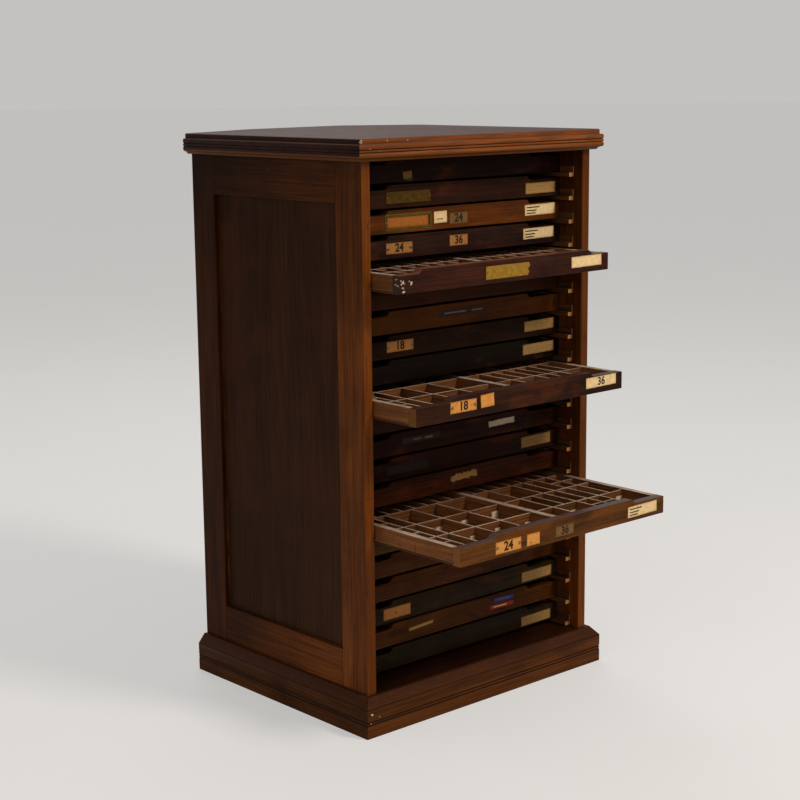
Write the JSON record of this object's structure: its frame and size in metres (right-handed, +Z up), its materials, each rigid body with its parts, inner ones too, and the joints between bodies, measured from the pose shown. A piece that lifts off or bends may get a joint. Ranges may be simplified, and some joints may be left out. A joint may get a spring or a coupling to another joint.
{
  "type": "type case cabinet",
  "caption": "Tall wooden cabinet of shallow sliding type cases on runners, with panelled sides, a moulded top and a plinth.",
  "frame": {"origin": "on the floor, at the middle of the whole object's box with its three drawn-out cases", "axes": "+X to the cabinet's right seen from the front, -Y out of its open front, +Z up"},
  "size_m": [0.637, 0.73, 1.0968],
  "materials": {
    "top_wood": "worn",
    "frame_wood": "worn",
    "panel_wood": "worn",
    "plinth_wood": "worn",
    "runner_wood": "worn",
    "inner_wood": "worn",
    "case_front_wood": "worn",
    "case_tray_wood": "worn",
    "brass": "tarnished"
  },
  "bodies": {
    "carcass": {"top_board": "top_wood", "left_side_frame": "frame_wood", "right_side_frame": "frame_wood", "left_side_panel": "panel_wood", "right_side_panel": "panel_wood", "floor_board": "inner_wood", "back_boards": "inner_wood", "plinth_front": "plinth_wood", "plinth_left": "plinth_wood", "plinth_right": "plinth_wood", "plinth_back": "inner_wood", "glue_blocks": "inner_wood", "left_runners": "runner_wood", "right_runners": "runner_wood"},
    "case_01": {"case_01_front": "case_front_wood", "case_01_tray": "case_tray_wood"},
    "case_02": {"case_02_front": "case_front_wood", "case_02_tray": "case_tray_wood", "case_02_label_plate": "brass"},
    "case_03": {"case_03_front": "case_front_wood", "case_03_tray": "case_tray_wood", "case_03_card_holder": "brass"},
    "case_04": {"case_04_front": "case_front_wood", "case_04_tray": "case_tray_wood"},
    "case_05": {"case_05_front": "case_front_wood", "case_05_tray": "case_tray_wood", "case_05_torn_plate": "brass"},
    "case_06": {"case_06_front": "case_front_wood", "case_06_tray": "case_tray_wood"},
    "case_07": {"case_07_front": "case_front_wood", "case_07_tray": "case_tray_wood"},
    "case_08": {"case_08_front": "case_front_wood", "case_08_tray": "case_tray_wood"},
    "case_09": {"case_09_front": "case_front_wood", "case_09_tray": "case_tray_wood"},
    "case_10": {"case_10_front": "case_front_wood", "case_10_tray": "case_tray_wood"},
    "case_11": {"case_11_front": "case_front_wood", "case_11_tray": "case_tray_wood"},
    "case_12": {"case_12_front": "case_front_wood", "case_12_tray": "case_tray_wood"},
    "case_13": {"case_13_front": "case_front_wood", "case_13_tray": "case_tray_wood"},
    "case_14": {"case_14_front": "case_front_wood", "case_14_tray": "case_tray_wood"},
    "case_15": {"case_15_front": "case_front_wood", "case_15_tray": "case_tray_wood"},
    "case_16": {"case_16_front": "case_front_wood", "case_16_tray": "case_tray_wood"},
    "case_17": {"case_17_front": "case_front_wood", "case_17_tray": "case_tray_wood"},
    "case_18": {"case_18_front": "case_front_wood", "case_18_tray": "case_tray_wood"},
    "case_19": {"case_19_front": "case_front_wood", "case_19_tray": "case_tray_wood"},
    "case_20": {"case_20_front": "case_front_wood", "case_20_tray": "case_tray_wood"},
    "case_21": {"case_21_front": "case_front_wood", "case_21_tray": "case_tray_wood"}
  },
  "joints": [
    {"name": "case_01_slide", "type": "slide", "parent": "carcass", "child": "case_01", "axis": [0, -1, 0], "range_m": [0, 0.34]},
    {"name": "case_02_slide", "type": "slide", "parent": "carcass", "child": "case_02", "axis": [0, -1, 0], "range_m": [0, 0.34]},
    {"name": "case_03_slide", "type": "slide", "parent": "carcass", "child": "case_03", "axis": [0, -1, 0], "range_m": [0, 0.34]},
    {"name": "case_04_slide", "type": "slide", "parent": "carcass", "child": "case_04", "axis": [0, -1, 0], "range_m": [0, 0.34]},
    {"name": "case_05_slide", "type": "slide", "parent": "carcass", "child": "case_05", "axis": [0, -1, 0], "range_m": [-0.13, 0.21]},
    {"name": "case_06_slide", "type": "slide", "parent": "carcass", "child": "case_06", "axis": [0, -1, 0], "range_m": [0, 0.34]},
    {"name": "case_07_slide", "type": "slide", "parent": "carcass", "child": "case_07", "axis": [0, -1, 0], "range_m": [0, 0.34]},
    {"name": "case_08_slide", "type": "slide", "parent": "carcass", "child": "case_08", "axis": [0, -1, 0], "range_m": [0, 0.34]},
    {"name": "case_09_slide", "type": "slide", "parent": "carcass", "child": "case_09", "axis": [0, -1, 0], "range_m": [0, 0.34]},
    {"name": "case_10_slide", "type": "slide", "parent": "carcass", "child": "case_10", "axis": [0, -1, 0], "range_m": [-0.1695, 0.1705]},
    {"name": "case_11_slide", "type": "slide", "parent": "carcass", "child": "case_11", "axis": [0, -1, 0], "range_m": [0, 0.34]},
    {"name": "case_12_slide", "type": "slide", "parent": "carcass", "child": "case_12", "axis": [0, -1, 0], "range_m": [0, 0.34]},
    {"name": "case_13_slide", "type": "slide", "parent": "carcass", "child": "case_13", "axis": [0, -1, 0], "range_m": [0, 0.34]},
    {"name": "case_14_slide", "type": "slide", "parent": "carcass", "child": "case_14", "axis": [0, -1, 0], "range_m": [0, 0.34]},
    {"name": "case_15_slide", "type": "slide", "parent": "carcass", "child": "case_15", "axis": [0, -1, 0], "range_m": [-0.2795, 0.0605]},
    {"name": "case_16_slide", "type": "slide", "parent": "carcass", "child": "case_16", "axis": [0, -1, 0], "range_m": [0, 0.34]},
    {"name": "case_17_slide", "type": "slide", "parent": "carcass", "child": "case_17", "axis": [0, -1, 0], "range_m": [0, 0.34]},
    {"name": "case_18_slide", "type": "slide", "parent": "carcass", "child": "case_18", "axis": [0, -1, 0], "range_m": [0, 0.34]},
    {"name": "case_19_slide", "type": "slide", "parent": "carcass", "child": "case_19", "axis": [0, -1, 0], "range_m": [0, 0.34]},
    {"name": "case_20_slide", "type": "slide", "parent": "carcass", "child": "case_20", "axis": [0, -1, 0], "range_m": [0, 0.34]},
    {"name": "case_21_slide", "type": "slide", "parent": "carcass", "child": "case_21", "axis": [0, -1, 0], "range_m": [0, 0.34]}
  ]
}
